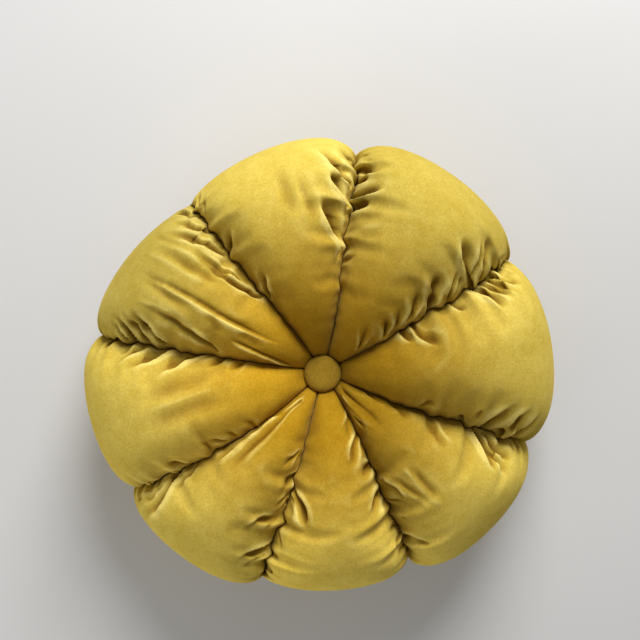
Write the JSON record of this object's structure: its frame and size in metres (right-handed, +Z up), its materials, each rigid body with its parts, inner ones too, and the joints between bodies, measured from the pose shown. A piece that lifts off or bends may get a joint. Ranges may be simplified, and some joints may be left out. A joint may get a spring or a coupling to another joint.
{
  "type": "pumpkin cushion",
  "caption": "Round stuffed velvet cushion of puffy petals with gathered seams, drawn in at the middle by a covered button on each face.",
  "frame": {"origin": "on the surface that the cushion lies on, under the middle of its bounding box", "axes": "+Z up, square to the cushion's face, which looks up; +Y towards the edge that is uppermost in the picture, where it stands on its rim; +X towards the picture's right"},
  "size_m": [0.4786, 0.4612, 0.177],
  "materials": {
    "velvet": "short-piled velvet, mustard gold, bright at grazing angles",
    "button_velvet": "the same velvet drawn tight over a button"
  },
  "bodies": {
    "root": {"cushion": "velvet", "face_button": "button_velvet", "back_button": "button_velvet"}
  },
  "joints": []
}
